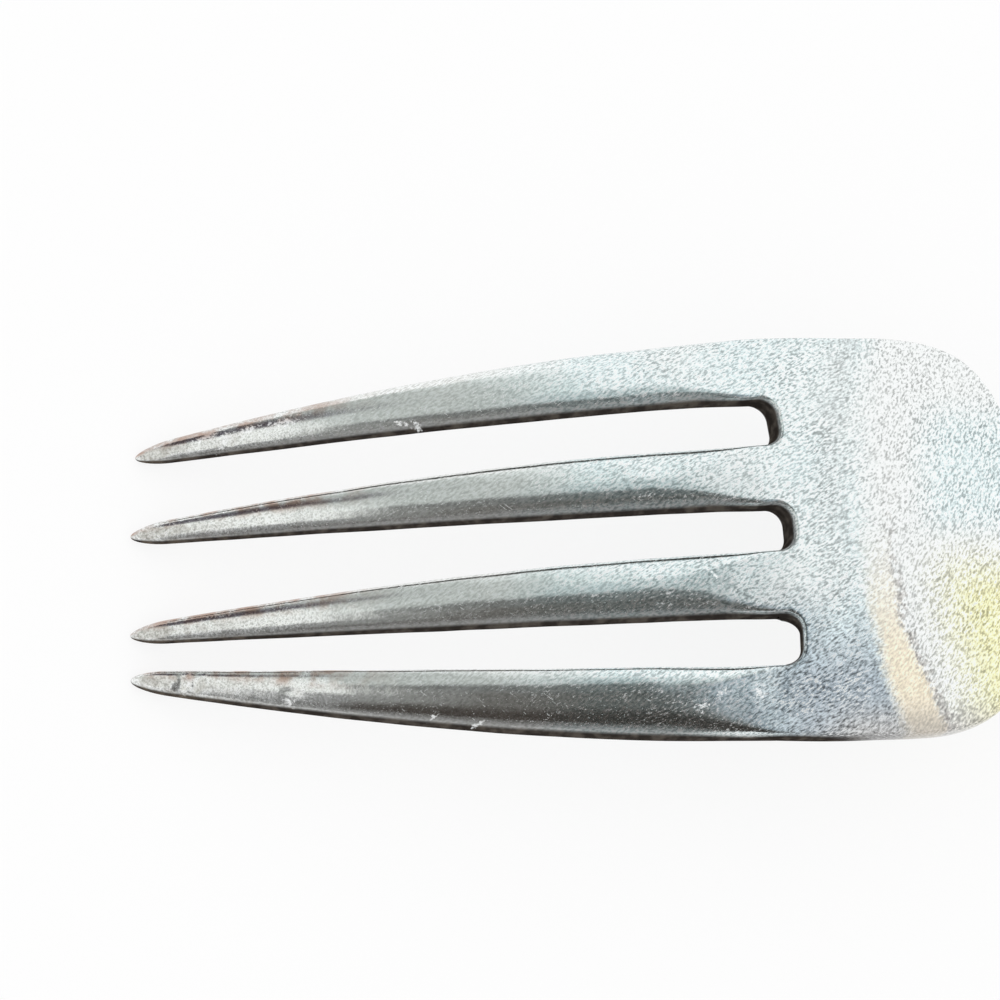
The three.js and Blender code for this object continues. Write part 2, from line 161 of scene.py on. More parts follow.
# Wear of the head: the size and height of its waves, and the low bowed crest across the palm with a groove
# behind it
HEAD_WAVES = [(6.0, 0.03), (2.2, 0.016)]
CREST_HEIGHT = 0.06
CREST_REACH = 1.0
CREST_BOW = 0.021
CREST_BOW_Y = -0.5
GROOVE_DEPTH = 0.02
GROOVE_OFFSET = 0.65
GROOVE_WIDTH = 0.22

# Rim darkening, from tarnish and from painted shade on the sides that face the near side: how far in it
# reaches on the tines, the share of a half width that it covers at most, how much of it lies on far sides,
# the width over which one side changes to the other and where it ends
TINE_RIM_DARKENING_REACH = 0.95
TIP_RIM_DARKENING_SHARE = 0.4
FAR_SIDE_RIM_DARKENING = 0.05
RIM_SIDE_FADE_WIDTH = 0.8
RIM_DARKENING_END_LENGTH = 10.0

# Nicks in the back of the head: station, y, length, width, direction in degrees and depth
NICKS = [
    (2.35, -6.1, 0.5, 0.16, 75, 0.14),
    (3.05, -6.15, 0.55, 0.14, 62, 0.10),
    (5.6, 6.9, 0.8, 0.12, 58, 0.05),
    (14.9, 6.6, 0.5, 0.2, 20, 0.06),
    (7.6, -7.1, 0.45, 0.2, -25, 0.07),
]

# White patches and scratches where the plate has worn away: station, y, half length, half width and degrees
WORN_PATCHES = [
    (28.6, -9.4, 0.35, 0.2, 20),
    (29.7, -8.7, 0.3, 0.2, 35),
    (31.8, -8.8, 0.4, 0.28, 60),
    (29.5, -2.4, 0.4, 0.06, -45),
    (39.2, 7.4, 0.8, 0.07, 55),
    (14.2, 6.9, 0.45, 0.1, -15),
    (15.0, 6.7, 0.3, 0.14, -40),
    (4.4, 7.2, 0.5, 0.22, 30),
    (5.3, 6.9, 0.5, 0.2, 60),
    (6.4, 7.3, 0.5, 0.18, 20),
    (8.2, 7.5, 0.7, 0.2, 12),
    (2.7, -6.1, 0.4, 0.2, 75),
    (7.6, -7.6, 0.3, 0.14, -25),
    (14.7, -9.0, 0.2, 0.12, 40),
    (17.0, -9.5, 0.3, 0.1, 20),
]

# Colours and surface depths
# The cool tone below is the plate's own, and also the painted sky reflection on the palm's far side
SILVER_COOL_AND_PAINTED_SKY = (0.78, 0.90, 0.91)
SILVER_WARM = (0.88, 0.90, 0.88)
SILVER_BRIGHT = (0.97, 0.99, 0.99)
# The next three are painted light: a paler painted highlight past the crest, a blue-grey painted reflection
# towards the near edge and a grey painted shade band
PAINTED_PALE_HIGHLIGHT = (0.92, 0.95, 0.94)
PAINTED_BLUE_REFLECTION = (0.33, 0.38, 0.42)
PAINTED_SHADE_GREY = (0.66, 0.70, 0.70)
SILVER_HANDLE = (0.56, 0.59, 0.59)
SILVER_SOFT = (0.60, 0.63, 0.62)
# The next three are painted light too: yellow and tan painted reflections on the palm, and a dark painted
# shade along its near edge and behind the crest
PAINTED_YELLOW_REFLECTION = (0.95, 0.92, 0.55)
PAINTED_TAN_REFLECTION = (0.92, 0.83, 0.66)
PAINTED_DARK_SHADE = (0.42, 0.40, 0.38)
SCRATCH = (0.92, 0.93, 0.92)
# Rim darkening colours: tarnish, and painted shade on the rims that face the near side
TARNISH_AND_SHADE_DARK = (0.03, 0.025, 0.022)
TARNISH_AND_SHADE_PALE = (0.085, 0.073, 0.062)
TIP_DIRT = (0.20, 0.16, 0.12)
RESIN_DARK = (0.05, 0.04, 0.035)
RESIN_PALE = (0.14, 0.11, 0.09)
FLOOR_WHITE = (0.95, 0.95, 0.95)
FLOOR_SHADE = (0.93, 0.93, 0.93)
# Painted brown reflection of the table on the far sides of the tips
PAINTED_BROWN_REFLECTION = (0.50, 0.37, 0.31)
GRAIN_CONTRAST = 0.85
GRAIN_DEPTH = 0.0035
DENT_DEPTH = 0.018
SCRATCH_DEPTH = 0.006
RESIN_DEPTH = 0.05

# Grain and marks of the plate. Strokes have a length, width, degrees and detail, and clouds have a feature
# size and detail. A range goes from none to all.
SCRATCHES = [((6.0, 0.05, 24), (0.71, 0.8)), ((5.0, 0.05, -38), (0.73, 0.82))]
SCRATCH_SHARE = 0.5
GRAIN = (0.27, 0.105, 28, 2.0)
GRAIN_RANGE = (0.3, 0.7)
SHOULDER_GRAIN = (0.24, 0.12, 55, 2.0)
SHOULDER_GRAIN_STATIONS = (36.0, 42.0)
TIP_GRAIN = (0.12, 2.0)
TIP_GRAIN_STATIONS = (14.0, 8.0)
BLUE_GRAIN = 0.05
DENTS = (1.4, 2.0)
FROST_RANGE = (0.58, 0.7)
FROST_CLOUDS = (1.6, 3.0)
FROST_CLOUD_RANGE = (0.35, 0.65)
FROST_RIM_DARKENING_RANGE = (0.4, 0.0)
FROST_ROUGHNESS = 0.4
ROUGH_CLOUDS = (1.2, 3.0)
ROUGH_SWING = 0.1
ROUGH_LEAST = 0.1

# How strongly the grain shows: on the palm, the tips and the handle, in clouds, and on the painted blue and
# tan
PALM_WORKED_STATIONS = (16.0, 30.0)
TIP_WORKED_STATIONS = (13.0, 5.0)
TIP_WORKED_SHARE = 0.5
WORKED_CLOUDS = (2.0, 3.0)
WORKED_CLOUD_SWING = 1.6
WORKED_CLOUD_LEAST = 0.1
WORKED_SWING = 0.7
WORKED_LEAST = 0.5
BLUE_WORKED = 0.7
TAN_CALM = 0.5
HANDLE_WORKED = 0.4

# Tone and painted light: warm tines, the change to the handle's tone, then the palm's painted reflections,
# highlight and shade by y, station or distance past the crest, which noise makes ragged
WARM_CLOUD_SIZE = 5.0
WARM_CLOUD_SHARE = 0.8
WARM_STATIONS = (26.0, 10.0)
WARM_RANGE = (0.25, 0.9)
HANDLE_CLOUD_SIZE = 12.0
HANDLE_CLOUD_RANGE = (0.3, 0.7)
HANDLE_TONE_START = SHOULDER_START + 6.0
HANDLE_TONE_END = SHOULDER_END + 12.0
CREST_RAGGED = [(1.5, 3.0), (0.2, 2.0)]
CREST_SWAY = 0.8
PALE_PAST = (-2.0, 0.5)
SHADE_PAST = (-4.2, -2.6)
SHADE_PAST_END = (-1.0, -2.2)
SHADE_Y = (-5.0, 0.0)
SHADE_SHARE = 0.6
SKY_Y = (8.0, 5.0)
SKY_Y_END = (-1.5, 1.0)
SKY_PAST = (1.5, 4.5)
BLUE_Y = (-2.0, -9.0)
BLUE_PAST = (-0.4, -1.8)
BLUE_STATIONS = (30.0, 35.0)
YELLOW_Y = (0.0, -4.5)
YELLOW_PAST = (1.0, 6.0)
LATE_Y = (-5.0, -10.0)
LATE_SHIFT = -0.8
TAN_Y = (1.0, -8.0)
TAN_PAST = (-1.6, -0.5)
TAN_LATE = (0.9, 0.3)
EDGE_Y = (-8.8, -11.2)
EDGE_STATIONS = (33.0, 38.0)
EDGE_SHARE = 0.7
LINE_LATE = (0.3, 0.7)
LINE_LATE_END = (1.6, 0.7)
LINE_CLOUDS = (0.35, 3.0)
LINE_CLOUD_RANGE = (0.4, 0.6)
LINE_Y = (6.0, -6.0)
LINE_SHARE = 0.85

# Rim tarnish with painted shade, worn patches, dirty tips and a painted brown reflection: clouds, and where
# and how much of each there is
FLECKS = (0.25, 3.0)
FLECK_RANGE = (0.3, 0.6)
FLECK_SWING = 0.3
FLECK_LEAST = 0.7
RIM_DARKENING_RANGE = (0.2, 0.9)
RIM_DARKENING_CLOUDS = (0.7, 4.0)
RIM_DARKENING_CLOUD_RANGE = (0.4, 0.7)
PATCH_RAGGED = (0.16, 3.0)
PATCH_SWAY = 5.0
PATCH_EDGE = (1.3, 0.2)
PATCH_SHARE = 0.75
TIP_DIRT_STATIONS = (9.0, 1.0)
TIP_DIRT_CLOUDS = (0.5, 4.0)
TIP_DIRT_RANGE = (0.4, 0.65)
TIP_DIRT_SHARE = 0.35
BROWN_REFLECTION_STATIONS = (14.0, 8.0)
BROWN_REFLECTION_ACROSS = (-0.1, 0.6)
BROWN_REFLECTION_CLOUDS = (1.0, 4.0)
BROWN_REFLECTION_CLOUD_RANGE = (0.35, 0.65)

# Resin and table
RESIN_CLOUDS = (2.5, 3.0)
RESIN_GRIT = (0.4, 3.0)
RESIN_ROUGHNESS = 0.8
FLOOR_CLOUD_SIZE = 400.0
FLOOR_ROUGHNESS = 0.9

# Light: radiances, where 1 is white, and sizes and distances in metres. The canopy is part of a dome, which
# is nowhere lower than about the lowest sine times its radius.
ROOM_COLOUR = (1.0, 1.0, 1.0)
ROOM_LEVEL = 1.0
WINDOW_LEVEL = 0.12
WINDOW_DIRECTION = (0.75, 0.2, 0.6)
WINDOW_DISTANCE = 0.6
WINDOW_SIZE = 0.7
FLOOR_GLOW = 0.8
FLOOR_SIZE = 4.0
CANOPY_RADIUS = 0.45
CANOPY_STEPS = 60
LOWEST_SINE = 0.05

# What the metal mirrors in the white room: each zone's colour, its ranges of x and y on the canopy as shares
# of the radius, and half the width of its soft edge
CANOPY = {
    "grey_right": ((0.76, 0.80, 0.79), (-0.5, 0.02), (-0.3, 1.2), 0.06),
    "grey_left": ((0.52, 0.55, 0.535), (-0.5, -0.1), (-0.3, 1.2), 0.06),
    "grey_low": ((0.58, 0.62, 0.62), (-0.14, 0.2), (-1.2, 0.38), 0.1),
    "dark_top": ((0.17, 0.175, 0.17), (-0.5, 0.18), (-1.2, 0.05), 0.08),
    "blue_grey": ((0.40, 0.45, 0.5), (0.18, 0.3), (-1.2, -0.04), 0.05),
    "dark_middle": ((0.14, 0.134, 0.125), (-0.5, 0.18), (-1.2, -0.28), 0.1),
    "dark_low": ((0.055, 0.046, 0.04), (-0.5, 0.3), (-1.2, -0.7), 0.1),
    "grey_middle": ((0.25, 0.253, 0.245), (-0.5, -0.28), (-0.65, -0.12), 0.08),
    "streak": ((0.96, 0.97, 0.95), (-0.66, -0.45), (-0.4, 1.2), 0.04),
    "low_left": ((0.28, 0.28, 0.28), (-0.58, -0.44), (-1.2, -0.42), 0.06),
    "far_left": ((0.77, 0.76, 0.73), (-1.2, -0.64), (-0.95, 0.8), 0.04),
    "dark_rim": ((0.11, 0.10, 0.12), (-0.6, -0.34), (0.64, 1.2), 0.08),
}
CANOPY_SPAN_X = (-0.97, 0.7)
CANOPY_SPAN_Y = (-0.995, 0.99)
HEAD_MIDDLE_HEIGHT = 8.0
HEAD_MIDDLE = Vector(((TIP_X + TINE_LENGTH) * MM, 0.0, HEAD_MIDDLE_HEIGHT * MM))

# Camera: its lean from straight above towards the tips and the lower edge of the picture, and its turn, in
# degrees, then its distance from the point that it looks at, and the scale there
CAMERA_LEAN_X = 18.465
CAMERA_LEAN_Y = 14.516
CAMERA_ROLL = -4.949
CAMERA_DISTANCE = 160.0
AIM_STATION = 18.992
AIM_Y = 2.375
PIXELS_PER_MM = 18.822
PICTURE_WIDTH = 1000
SENSOR_WIDTH = 36.0

# Centre lines and half widths of the tines and slots where they meet the palm
INNER_ROOT_Y = (MIDDLE_SLOT_WIDTH + INNER_TINE_WIDTH) / 2
OUTER_ROOT_Y = INNER_ROOT_Y + (INNER_TINE_WIDTH + OUTER_TINE_WIDTH) / 2 + OUTER_SLOT_WIDTH
ROOT_YS = [OUTER_ROOT_Y, INNER_ROOT_Y, -INNER_ROOT_Y, -OUTER_ROOT_Y]
ROOT_HALVES = [w / 2 for w in (OUTER_TINE_WIDTH, INNER_TINE_WIDTH, INNER_TINE_WIDTH, OUTER_TINE_WIDTH)]
ROOT_HALF_WIDTH = OUTER_ROOT_Y + OUTER_TINE_WIDTH / 2
OUTER_SLOT_Y = OUTER_ROOT_Y - (OUTER_TINE_WIDTH + OUTER_SLOT_WIDTH) / 2
SLOTS = [
    (OUTER_SLOT_Y, OUTER_SLOT_WIDTH / 2),
    (0.0, MIDDLE_SLOT_WIDTH / 2),
    (-OUTER_SLOT_Y, OUTER_SLOT_WIDTH / 2),
]


def clamp01(value):
    return np.clip(value, 0.0, 1.0)


def lerp(start, end, share):
    return start + (end - start) * share


def ease_out(u):
    return 1 - (1 - u) ** 2


def smoothstep(u):
    u = clamp01(u)
    return u * u * (3 - 2 * u)


def round_end(u):
    return np.sqrt(1 - (1 - clamp01(u)) ** 2)


def along_tine(index, station):
    """How far along a tine a station lies, from 0 at its tip to 1 at the palm."""
    setback = TINES[index]["setback"]
    return clamp01((station - setback) / (TINE_LENGTH - setback))


def tine_centre(index, station):
    tine = TINES[index]
    return lerp(ROOT_YS[index], tine["tip_y"], (1 - along_tine(index, station)) ** tine["bend"])


def tine_edge_round(station, half_width):
    """How far in from its rim a tine's section is rounded: all the way, then less towards the palm."""
    share = smoothstep((station - SLOT_CORNER_START + ROOT_BLEND_LENGTH) / ROOT_BLEND_LENGTH)
    return lerp(half_width, EDGE_ROUND, share)


def tine_halves(index, station):
    """Half width and half thickness of a tine."""
    taper = ease_out(along_tine(index, station))
    close = round_end((station - TINES[index]["setback"]) / TIP_ROUND_LENGTH)
    half_width = lerp(TIP_WIDTH / 2, ROOT_HALVES[index], taper) * close
    half_thickness = lerp(TIP_THICKNESS, PALM_THICKNESS, taper) / 2 * close
    return half_width, half_thickness


def dish_drop(station, y):
    return clamp01(station / CROWN) * y * y / (2 * DISH_RADIUS)


def tine_rise(index, station, y):
    """Height of the middle of a tine above the middle of its tip."""
    tine = TINES[index]
    arch = ARCH_RISE * ease_out((station - tine["setback"]) / (CROWN - tine["setback"]))
    free = smoothstep((SLOT_CORNER_START - station) / LEAN_FADE_LENGTH)
    return arch - dish_drop(station, y) + tine["lean"] * (y - tine_centre(index, station)) * free


def tip_height():
    """Height of the tips' middle that lets the lowest tip touch the table."""
    lowest = []
    for index, tine in enumerate(TINES):
        station = tine["setback"] + np.linspace(0, 2 * TIP_ROUND_LENGTH, TIP_SAMPLES)
        thickness = tine_halves(index, station)[1]
        lowest.append((thickness - tine_rise(index, station, tine_centre(index, station))).max())
    return max(lowest)


TIP_HEIGHT = tip_height()


def palm_half_width(station):
    """Half width of the palm, its squared round shoulders and the neck that they run into."""
    flare = ease_out(clamp01((station - SLOT_CORNER_START) / PALM_FLARE_LENGTH))
    full = lerp(ROOT_HALF_WIDTH, PALM_WIDTH / 2, flare)
    u = clamp01((station - SHOULDER_START) / SHOULDER_LENGTH)
    shoulder = full * (1 - u**SHOULDER_SQUARENESS) ** (1 / SHOULDER_SQUARENESS)
    neck = NECK_WIDTH / 2 + NECK_FLARE / (1 + np.exp((station - SHOULDER_END) / NECK_FLARE_FADE))
    return (shoulder**BLEND_POWER + (neck * u) ** BLEND_POWER) ** (1 / BLEND_POWER)


def palm_half_thickness(station):
    return lerp(PALM_THICKNESS, NECK_THICKNESS, smoothstep((station - CROWN) / NECK_THICKEN_LENGTH)) / 2


def crest(station, y):
    """Height of the low ridge that runs across the palm at its crown, less the fine groove behind it."""
    past = station - CROWN - CREST_BOW * (y - CREST_BOW_Y) ** 2
    ridge = CREST_HEIGHT * np.exp(1 - np.sqrt(1 + (past / CREST_REACH) ** 2))
    return ridge - GROOVE_DEPTH * np.exp(-(((past - GROOVE_OFFSET) / GROOVE_WIDTH) ** 2))


def palm_height(station, y, setback=0.0):
    arch = TIP_HEIGHT + ARCH_RISE * ease_out(clamp01((station - setback) / (CROWN - setback)))
    u = clamp01((station - CROWN) / (BOLSTER_START - CROWN))
    fall = lerp(HANDLE_AXIS_Z, TIP_HEIGHT + ARCH_RISE, (1 + np.cos(np.pi * u)) / 2)
    flatten = 1 - smoothstep((station - SHOULDER_END) / NECK_LENGTH)
    return np.where(station <= CROWN, arch, fall) - dish_drop(station, y) * flatten


def slot_distance(station, y):
    """Distance of a palm point from the nearest slot end."""
    nearest = np.full(np.broadcast(station, y).shape, PALM_WIDTH)
    for slot_y, half in SLOTS:
        aside = np.maximum(np.abs(y - slot_y) - half + SLOT_CORNER_RADIUS, 0)
        beyond = np.maximum(station - SLOT_CORNER_START, 0)
        nearest = np.minimum(nearest, np.hypot(aside, beyond) - SLOT_CORNER_RADIUS)
    return np.maximum(nearest, 0)


def palm_depth(station, y):
    """Depth of a palm point inside the rim, from the nearer of the outer edge and the slot ends."""
    rise = palm_half_width(station + SLOPE_STEP) - palm_half_width(station - SLOPE_STEP)
    slope = rise / (2 * SLOPE_STEP)
    outer = (palm_half_width(station) - np.abs(y)) / np.hypot(1, slope)
    return np.maximum(np.minimum(outer, slot_distance(station, y)), 0)


def points_of(station, y, z):
    return np.stack(np.broadcast_arrays(station, y, z), axis=-1)


class Skin:
    """Points and faces gathered from grids, with shared points merged into one smooth mesh."""

    def __init__(self):
        self.points = []
        self.marks = {"tarnish_and_painted_shade": [], "across": []}
        self.faces = []
        self.count = 0

    def grid(self, points, marks=None, flip=False):
        """Quads over rows and columns of points, with named marks on them; flip turns their fronts round."""
        rows, columns = points.shape[:2]
        self.points.append(points.reshape(-1, 3))
        for name, values in self.marks.items():
            mark = (marks or {}).get(name, 0.0)
            values.append(np.broadcast_to(mark, (rows, columns)).ravel())
        index = self.count + np.arange(rows * columns).reshape(rows, columns)
        corners = [index[:-1, :-1], index[:-1, 1:], index[1:, 1:], index[1:, :-1]]
        if flip:
            corners.reverse()
        self.faces.append(np.stack(corners, axis=-1).reshape(-1, 4))
        self.count += rows * columns

    def mesh_object(self, name):
        points = np.concatenate(self.points)
        keys = np.round(points * MERGE_STEPS).astype(np.int64)
        _, kept, merged = np.unique(keys, axis=0, return_index=True, return_inverse=True)
        faces = []
        for face in merged.reshape(-1)[np.concatenate(self.faces)].tolist():
            corners = list(dict.fromkeys(face))
            if len(corners) > 2:
                faces.append(corners)
        mesh = bpy.data.meshes.new(name)
        mesh.from_pydata(((points[kept] + (TIP_X, 0, 0)) * MM).tolist(), [], faces)
        for mark, values in self.marks.items():
            kept_values = np.concatenate(values)[kept].astype(np.float32)
            mesh.attributes.new(mark, "FLOAT", "POINT").data.foreach_set("value", kept_values)
        mesh.polygons.foreach_set("use_smooth", [True] * len(mesh.polygons))
        mesh.set_sharp_from_angle(angle=math.radians(SHARP_DEGREES))
        piece = bpy.data.objects.new(name, mesh)
        bpy.context.collection.objects.link(piece)
        return piece


# Fork head
def rim_tarnish_and_painted_shade(depth, reach, station, y):
    """How dark the rims are, most where they face the near side or the tips: tarnish, with painted shade on
    the near side.
    """
    share = lerp(FAR_SIDE_RIM_DARKENING, 1.0, smoothstep(0.5 - y / RIM_SIDE_FADE_WIDTH))
    share = share * (1 - smoothstep((station - TINE_LENGTH) / RIM_DARKENING_END_LENGTH))
    return share * (1 - smoothstep(depth / reach))


def tine_grid(skin, index):
    setback = TINES[index]["setback"]
    turn = np.linspace(0, np.pi / 2, TIP_ROWS, endpoint=False)
    tip = setback + TIP_ROUND_LENGTH * (1 - np.cos(turn))
    shaft = np.linspace(setback + TIP_ROUND_LENGTH, SLOT_CORNER_START, TINE_ROWS)
    station = np.concatenate([tip, shaft])[:, None]
    angle = np.linspace(0, 2 * np.pi, 2 * TINE_COLUMNS + 1)
    half_width, half_thickness = tine_halves(index, station)
    across = np.broadcast_to(np.cos(angle), (len(station), len(angle)))
    depth = half_width * (1 - np.abs(across))
    edge_round = tine_edge_round(station, half_width)
    bulge = round_end(depth / np.maximum(edge_round, 1 / MERGE_STEPS)) * np.sign(np.sin(angle))
    y = tine_centre(index, station) + half_width * across
    z = TIP_HEIGHT + tine_rise(index, station, y) + half_thickness * bulge
    # Rim darkening: tarnish, and painted shade on the side of the tine that faces the near side
    reach = np.clip(edge_round * TINES[index]["tarnish_and_painted_shade"], EDGE_ROUND, TINE_RIM_DARKENING_REACH)
    reach = np.maximum(np.minimum(reach, half_width * TIP_RIM_DARKENING_SHARE), 1 / MERGE_STEPS)
    tarnish_and_painted_shade = rim_tarnish_and_painted_shade(depth, reach, station, half_width * across)
    skin.grid(points_of(station, y, z), {"tarnish_and_painted_shade": tarnish_and_painted_shade, "across": across})


def palm_columns():
    """Y at the slot ends, reach past the corners' start and tine number of each column, -1 beyond a slot."""
    ys, reaches, tine_of = [], [], []
    for index in range(len(TINES)):
        for step in range(TINE_COLUMNS + 1):
            ys.append(ROOT_YS[index] + ROOT_HALVES[index] * math.cos(math.pi * step / TINE_COLUMNS))
            reaches.append(0.0)
            tine_of.append(index)
        if index == len(SLOTS):
            break
        slot_y, half = SLOTS[index]
        for side in (1, -1):
            for step in range(1, CORNER_COLUMNS + 1):
                turn = step if side > 0 else CORNER_COLUMNS + 1 - step
                angle = turn / CORNER_COLUMNS * math.pi / 2
                ys.append(slot_y + side * (half - SLOT_CORNER_RADIUS * (1 - math.cos(angle))))
                reaches.append(SLOT_CORNER_RADIUS * math.sin(angle))
                tine_of.append(-1)
    return np.array(ys), np.array(reaches), np.array(tine_of)


def palm_stations():
    """Stations close together round the slot ends, then even along the shoulders' outline, then the neck."""
    turn = np.linspace(0, np.pi / 2, SLOT_END_ROWS + 1)
    slot_end = SLOT_CORNER_START + SLOT_CORNER_RADIUS * (1 - np.cos(turn))
    neck_start = SHOULDER_END + NECK_FLARE_FADE
    fine = np.linspace(slot_end[-1], neck_start, OUTLINE_SAMPLES)
    outline = np.hypot(np.gradient(fine), np.gradient(palm_half_width(fine))).cumsum()
    even = np.interp(np.linspace(outline[0], outline[-1], PALM_ROWS), outline, fine)
    neck = np.linspace(neck_start, BOLSTER_START, NECK_ROWS)
    return np.concatenate([slot_end, even[1:], neck[1:]])


def join_tines(tine_of, y, z, half):
    """Sets the palm's first row on the tines' last sections and on the rims of the slot ends."""
    half[0, tine_of < 0] = 0
    across = np.cos(np.linspace(0, np.pi, TINE_COLUMNS + 1))
    for index in range(len(TINES)):
        mine = tine_of == index
        half_width, half_thickness = tine_halves(index, SLOT_CORNER_START)
        y[0, mine] = tine_centre(index, SLOT_CORNER_START) + half_width * across
        z[0, mine] = TIP_HEIGHT + tine_rise(index, SLOT_CORNER_START, y[0, mine])
        half[0, mine] = half_thickness * round_end(half_width * (1 - np.abs(across)) / EDGE_ROUND)


def over_columns(tine_of, values):
    """One value for each tine, spread over the palm's columns and drawn straight across the slots."""
    columns = np.arange(len(tine_of))
    on_tine = tine_of >= 0
    return np.interp(columns, columns[on_tine], np.array(values)[tine_of[on_tine]])


def palm_grid(skin):
    root_y, reach, tine_of = palm_columns()
    base = palm_stations()[:, None]
    fade = clamp01(1 - (base - SLOT_CORNER_START) / PALM_FLARE_LENGTH)
    station = base + reach * fade
    across = root_y / ROOT_HALF_WIDTH
    sway = [tine_centre(index, SLOT_CORNER_START) - root for index, root in enumerate(ROOT_YS)]
    setback = over_columns(tine_of, [tine["setback"] for tine in TINES])
    y = across * palm_half_width(station)
    depth = palm_depth(station, y)
    y = y + over_columns(tine_of, sway) * fade
    blade = palm_half_thickness(station) * round_end(depth / EDGE_ROUND)
    oval = palm_half_thickness(station) * np.sqrt(1 - np.minimum(across**2, 1))
    half = lerp(blade, oval, smoothstep((station - SHOULDER_END) / NECK_LENGTH))
    half[:, [0, -1]] = 0
    z = palm_height(station, y, setback * fade)
    join_tines(tine_of, y, z, half)
    # Rim darkening on the palm's near-facing outer rim and on all slot ends: tarnish, and painted shade
    facing = np.where(np.abs(across) > 1 - RIM_SIDE_FADE_WIDTH / PALM_WIDTH, np.sign(y), -1)
    marks = {"tarnish_and_painted_shade": rim_tarnish_and_painted_shade(depth, EDGE_ROUND, station, facing)}
    full = palm_half_thickness(station)
    rake = np.where(y < -MIDDLE_SLOT_WIDTH, reach / SLOT_CORNER_RADIUS, 0) * WALL_RAKE * fade
    skin.grid(points_of(station + rake * (1 - half / full) / 2, y, z + half), marks)
    skin.grid(points_of(station + rake * (1 + half / full) / 2, y, z - half), marks, flip=True)


def bolster_grid(skin):
    """Oval sections that swell from the neck to the round bolster, then the tang inside the handle."""
    radius = BOLSTER_DIAMETER / 2
    sections = []
    for u in np.linspace(0, 1, FLARE_ROWS):
        width = lerp(NECK_WIDTH / 2, radius, smoothstep(u))
        height = lerp(NECK_THICKNESS / 2, radius, smoothstep(u))
        sections.append((lerp(BOLSTER_START, BOLSTER_END - BOLSTER_RIM, u), width, height))
    turned = [
        (BOLSTER_END - EDGE_BREAK, radius),
        (BOLSTER_END, radius - EDGE_BREAK),
        (BOLSTER_END, TANG_DIAMETER / 2),
        (TANG_END, TANG_TIP_DIAMETER / 2),
        (TANG_END, 0.0),
    ]
    sections += [(place, size, size) for place, size in turned]
    station, width, height = np.array(sections).T[:, :, None]
    across = palm_columns()[0] / ROOT_HALF_WIDTH
    half = height * np.sqrt(1 - np.minimum(across**2, 1))
    half[:, [0, -1]] = 0
    skin.grid(points_of(station, across * width, HANDLE_AXIS_Z + half))
    skin.grid(points_of(station, across * width, HANDLE_AXIS_Z - half), flip=True)


def nick_depth(station, y, nick):
    """Depth of a short groove with soft sides."""
    at_station, at_y, length, width, degrees, depth = nick
    turn = math.radians(degrees)
    along = (station - at_station) * math.cos(turn) + (y - at_y) * math.sin(turn)
    aside = (y - at_y) * math.cos(turn) - (station - at_station) * math.sin(turn)
    return depth * np.exp(-((along / length) ** 2) - (aside / width) ** 2)


def wear_head(piece):
    """Shifts the surface along its normals by soft waves, the crest and nicks, as years of use leave it."""
    mesh = piece.data
    places = np.empty(len(mesh.vertices) * 3, dtype=np.float32)
    normals = np.empty_like(places)
    mesh.vertices.foreach_get("co", places)
    mesh.vertex_normals.foreach_get("vector", normals)
    places = places.reshape(-1, 3)
    normals = normals.reshape(-1, 3)
    station = places[:, 0] / MM - TIP_X
    y = places[:, 1] / MM
    back_side = smoothstep(normals[:, 2])
    shift = crest(station, y) * back_side
    for nick in NICKS:
        shift -= nick_depth(station, y, nick) * back_side
    for size, height in HEAD_WAVES:
        shift += [height * noise.noise(Vector(place) / (size * MM)) for place in places]
    moved = places + normals * (shift * MM)[:, None]
    moved[:, 2] = np.maximum(moved[:, 2], 0)
    mesh.vertices.foreach_set("co", moved.astype(np.float32).ravel())
    mesh.update()


def make_head():
    skin = Skin()
    for index in range(len(TINES)):
        tine_grid(skin, index)
    palm_grid(skin)
    bolster_grid(skin)
    piece = skin.mesh_object("worn_head")
    wear_head(piece)
    return piece


# Ferrule and handle
def bore_radius(station):
    u = (station - BOLSTER_END) / TANG_LENGTH
    return lerp(TANG_DIAMETER, TANG_TIP_DIAMETER, u) / 2 + FIT_GAP


def make_ferrule():
    """Turned collar with a bead, and the spigot that goes into the handle's mouth."""
    spigot_end = HANDLE_START + SPIGOT_LENGTH
    profile = [
        (BOLSTER_END, bore_radius(BOLSTER_END)),
        (BOLSTER_END, BOLSTER_DIAMETER / 2 - EDGE_BREAK),
    ]
    for u in np.linspace(*BEAD_SHARES, FLARE_ROWS):
        bead = FERRULE_BEAD * math.sin(math.pi * u)
        radius = lerp(BOLSTER_DIAMETER, MOUTH_DIAMETER, u) / 2 + bead
        profile.append((lerp(BOLSTER_END, HANDLE_START, u), radius))
    profile += [
        (HANDLE_START, MOUTH_DIAMETER / 2 - EDGE_BREAK),
        (HANDLE_START, SPIGOT_DIAMETER / 2),
        (spigot_end, SPIGOT_DIAMETER / 2),
        (spigot_end, bore_radius(spigot_end)),
        (BOLSTER_END, bore_radius(BOLSTER_END)),
    ]
    station, radius = np.array(profile).T[:, :, None]
    angle = np.linspace(0, 2 * np.pi, LATHE_SIDES + 1)
    skin = Skin()
    skin.grid(points_of(station, radius * np.cos(angle), HANDLE_AXIS_Z + radius * np.sin(angle)))
    return skin.mesh_object("turned_ferrule")


